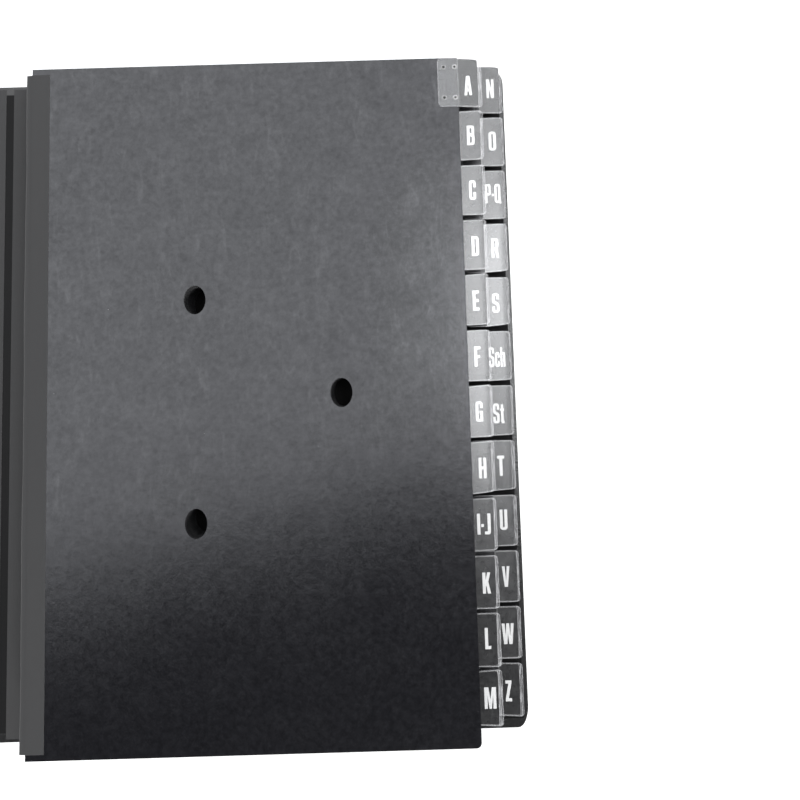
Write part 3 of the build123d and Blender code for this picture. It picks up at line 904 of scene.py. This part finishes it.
# hinge cloths: one inside lining and one outside cloth across each groove
for tag, body_a, body_b, lo_node, hi_node in (
        ("rear", "back", "spine", "spine_board", "back_cover"),
        ("front", "spine", "front", "front_cover", "spine_board")):
    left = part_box(lo_node)[1].x
    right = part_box(hi_node)[0].x
    mid = (left + right) / 2
    over = 9.0 * MM if tag == "front" else 0.0
    z_in = back_hi.z + 0.11 * MM
    lap_right = 1.1 * MM if tag == "rear" else 9.0 * MM
    lap_left = 9.0 * MM
    inner = []
    for k in range(15):
        u = k / 14
        x = (left - lap_left) + (right - left + lap_left + lap_right) * u
        dip = 0.0
        if left < x < right:
            dip = 0.45 * MM * math.sin(math.pi * (x - left) / (right - left)) ** 1.0
        inner.append((x, z_in - dip))
    lining = strip_along_y("hinge_lining_" + tag, inner, 0.20 * MM, 0.0, 910, 24, back_lo.y + 1.5 * MM, back_hi.y - 1.5 * MM)
    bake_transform(lining)
    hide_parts("spine_lining_" + tag)
    outer = []
    for k in range(13):
        u = k / 12
        x = left + 0.02 * MM + (right - left - 0.04 * MM) * u
        outer.append((x, 0.22 * MM + 0.45 * MM * math.sin(math.pi * u)))
    cloth = strip_along_y("hinge_cloth_" + tag, outer, 0.24 * MM, 0.0, 920, 24, back_lo.y + 1.0 * MM, back_hi.y - 1.0 * MM)
    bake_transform(cloth)
    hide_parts("spine_cloth_" + tag)

# --------------------------------------------------------- floor and lights
def paper_floor():
    g = Graph("pale_floor")
    soft = g.noise(g.place(), 3.0, 3.0)
    return g.done(g.principled(g.mix(soft, grey(0.90), grey(0.93)), 0.9, None, 1.3, spec=0.1))


floor = add_mesh("floor", [(-8, -8, -0.0001), (8, -8, -0.0001), (8, 8, -0.0001), (-8, 8, -0.0001)],
                 [(0, 1, 2, 3)], [paper_floor()])


def area_light(name, at, look, size_x, size_y, power, spin=0.0):
    data = bpy.data.lights.new(name, "AREA")
    data.shape = "RECTANGLE"
    data.size, data.size_y = size_x, size_y
    data.energy = power
    data.color = (0.965, 0.98, 1.0)
    obj = bpy.data.objects.new(name, data)
    scene.collection.objects.link(obj)
    obj.location = at
    direction = Vector(look) - Vector(at)
    obj.rotation_euler = direction.to_track_quat("-Z", "Y").to_euler()
    if spin:
        obj.rotation_euler = (Matrix.Rotation(spin, 3, "Z") @ obj.rotation_euler.to_matrix()).to_euler()
    return obj


# radiance of a one-sided area light is power / (pi * area)
def panel(name, at, look, size_x, size_y, radiance, spin=0.0):
    return area_light(name, at, look, size_x, size_y, radiance * math.pi * size_x * size_y, spin)


# Overhead panel. Its near edge is what the leaf mirrors as the change from grey to black.
H = 0.95
PANEL_TURN = math.radians(14)
along = Vector((math.cos(PANEL_TURN), math.sin(PANEL_TURN), 0))
inward = Vector((-math.sin(PANEL_TURN), math.cos(PANEL_TURN), 0))
edge_point = Vector((-0.043, -0.163, H))
size_x, size_y = 2.4, 1.5
centre = edge_point + inward * (size_y / 2)
main = panel("top_panel", centre, centre - Vector((0, 0, 1)), size_x, size_y, 2.42, PANEL_TURN)
lamp_at = Vector((0.318, 0.062, H - 0.01))
lamp = panel("top_lamp", lamp_at, lamp_at - Vector((0, 0, 1)), 0.20, 0.40, 7.0, PANEL_TURN)

sun_data = bpy.data.lights.new("side_sun", "SUN")
sun_data.energy = 4.6
sun_data.angle = math.radians(24)
sun = bpy.data.objects.new("side_sun", sun_data)
scene.collection.objects.link(sun)
sun.rotation_euler = Vector((-0.22, 0.84, -0.56)).to_track_quat("-Z", "Y").to_euler()
for light in (main, lamp, sun):
    light.visible_camera = False

world = bpy.data.worlds.new("studio")
scene.world = world
world.use_nodes = True
wt = world.node_tree
wt.nodes.clear()
w_out = wt.nodes.new("ShaderNodeOutputWorld")
w_bg = wt.nodes.new("ShaderNodeBackground")
w_co = wt.nodes.new("ShaderNodeTexCoord")
w_sep = wt.nodes.new("ShaderNodeSeparateXYZ")
w_ramp = wt.nodes.new("ShaderNodeValToRGB")
wt.links.new(w_co.outputs["Generated"], w_sep.inputs[0])
wt.links.new(w_sep.outputs["Z"], w_ramp.inputs[0])
ramp = w_ramp.color_ramp
ramp.elements[0].position, ramp.elements[0].color = 0.0, (1.0, 1.0, 1.0, 1)
ramp.elements[1].position, ramp.elements[1].color = 0.80, (0.02, 0.02, 0.02, 1)
for where, level in ((0.22, 0.95), (0.45, 0.62)):
    stop = ramp.elements.new(where)
    stop.color = (level, level, level, 1)
wt.links.new(w_ramp.outputs[0], w_bg.inputs[0])
w_bg.inputs[1].default_value = 1.0
wt.links.new(w_bg.outputs[0], w_out.inputs[0])
